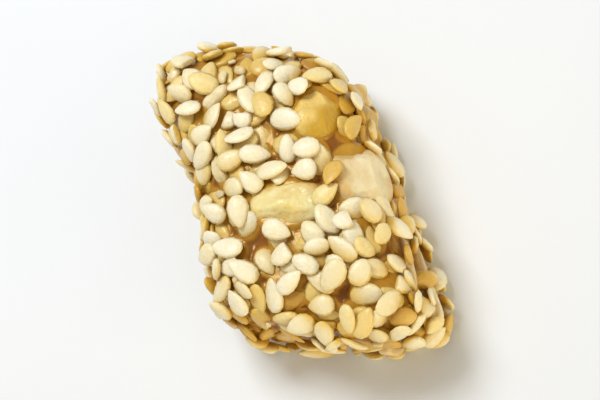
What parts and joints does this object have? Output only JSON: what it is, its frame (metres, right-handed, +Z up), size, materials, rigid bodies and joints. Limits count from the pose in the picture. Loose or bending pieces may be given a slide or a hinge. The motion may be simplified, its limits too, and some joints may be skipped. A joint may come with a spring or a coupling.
{
  "type": "sesame brittle slab",
  "caption": "Chunky hand-cut slab of sesame and peanut brittle: a leaning rounded block of set caramel, coated in hulled sesame seeds, with peanut pieces half sunk in its sides.",
  "frame": {"origin": "under the middle of the slab, on the flat spot that it rests on", "axes": "+Z up, out of the broad seeded face that shows; +Y along the slab's length; +X towards its right long side"},
  "size_m": [0.0293, 0.0347, 0.016],
  "materials": {
    "seeded_caramel": "glossy amber caramel under ivory and golden sesame seeds",
    "pale_peanut": "smooth pale cream, softly satin",
    "glazed_peanut": "golden peanut under a thin glossy caramel glaze"
  },
  "bodies": {
    "root": {"brittle_slab": "seeded_caramel", "peanut_pale_half": "pale_peanut", "peanut_gold_chip": "glazed_peanut", "peanut_glazed_piece": "glazed_peanut", "peanut_left_wedge": "pale_peanut", "peanut_right_chip": "glazed_peanut", "peanut_far_slice": "pale_peanut", "peanut_near_chip": "glazed_peanut"}
  },
  "joints": []
}
